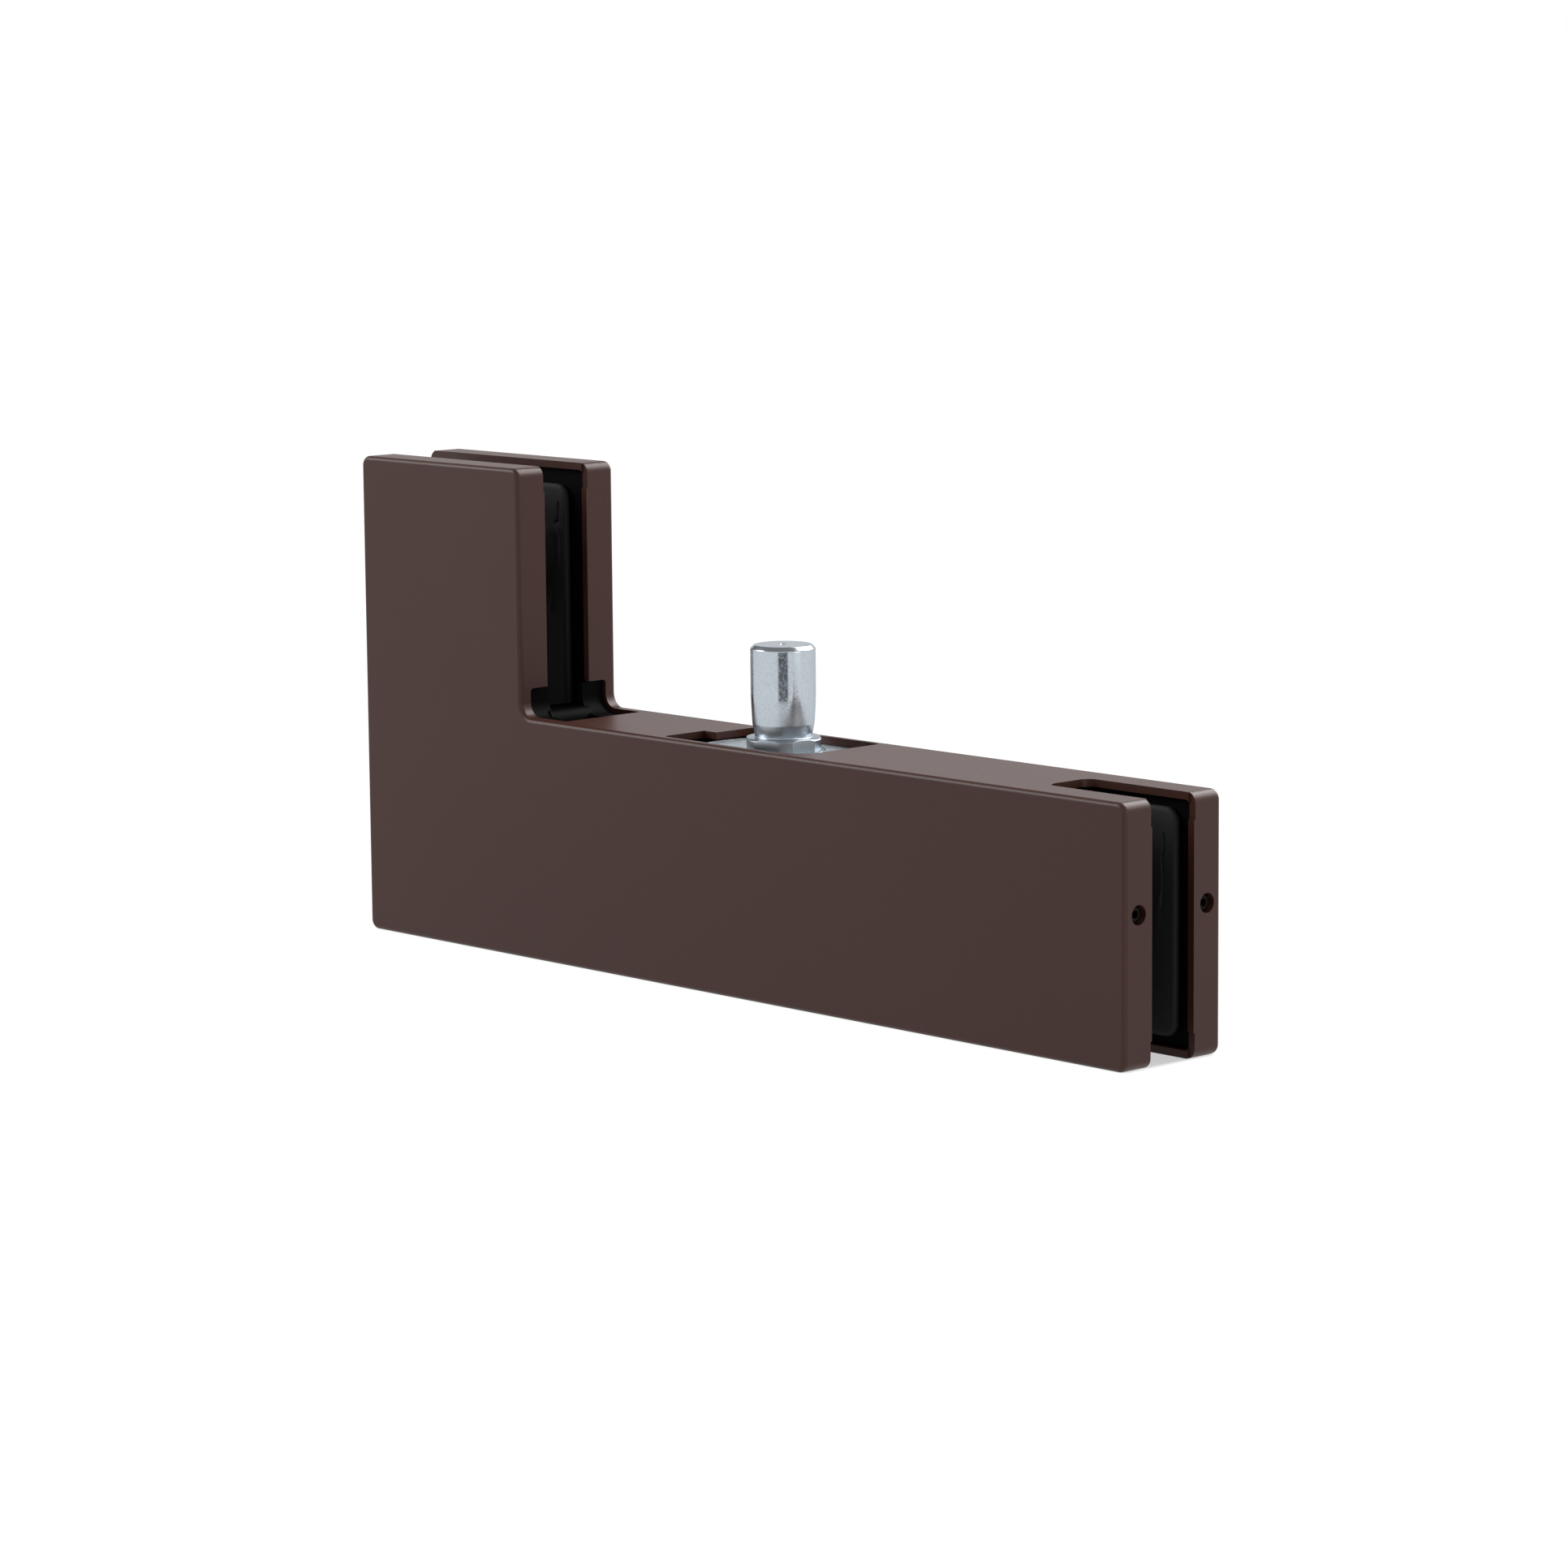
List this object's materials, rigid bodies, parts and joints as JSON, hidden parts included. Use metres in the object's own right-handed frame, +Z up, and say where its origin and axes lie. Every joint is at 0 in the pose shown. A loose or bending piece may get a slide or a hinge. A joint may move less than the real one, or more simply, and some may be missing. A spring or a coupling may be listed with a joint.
{
  "type": "transom patch fitting",
  "caption": "L-shaped glass patch fitting: bronze covers over padded clamp plates grip the fixed panes, and a screwed steel pivot pin on the beam carries the door.",
  "frame": {"origin": "under the middle of the beam's long edge, in the middle of the glass gap", "axes": "+X along the beam away from the arm, +Y through the glass towards the rear cover, +Z up along the pivot pin"},
  "size_m": [0.238, 0.028, 0.1092],
  "materials": {
    "bronze_coat": "satin dark bronze powder coat",
    "black_alloy": "black anodised",
    "pad_rubber": "matt",
    "black_nylon": "moulded, satin",
    "zinc_plate": "bright zinc plated",
    "screw_steel": "plain"
  },
  "bodies": {
    "fitting": {"front_cover": "bronze_coat", "rear_cover": "bronze_coat", "front_clamp": "black_alloy", "rear_clamp": "black_alloy", "front_arm_pad": "pad_rubber", "front_beam_pad": "pad_rubber", "rear_arm_pad": "pad_rubber", "rear_beam_pad": "pad_rubber", "corner_spacer": "black_nylon", "pivot_block": "zinc_plate", "arm_screw": "screw_steel", "corner_screw": "screw_steel", "mid_screw": "screw_steel", "end_screw": "screw_steel", "block_screw_left": "screw_steel", "block_screw_right": "screw_steel", "arm_sleeve": "black_nylon", "corner_sleeve": "black_nylon", "mid_sleeve": "black_nylon", "end_sleeve": "black_nylon", "front_grub_screw": "screw_steel", "rear_grub_screw": "screw_steel"},
    "washer": {"pin_washer": "zinc_plate"},
    "pin": {"pivot_pin": "zinc_plate"}
  },
  "joints": [
    {"name": "pin_lift", "type": "slide", "parent": "fitting", "child": "washer", "axis": [0, 0, 1], "range_m": [0, 0.003]},
    {"name": "pin_turn", "type": "hinge", "parent": "washer", "child": "pin", "pos_m": [0.0063, 0, 0.0523], "axis": [0, 0, 1], "range_deg": [0, 720]}
  ],
  "couplings": [
    {"joint": "pin_turn", "follows": "pin_lift", "rad_per_m": 4188}
  ]
}
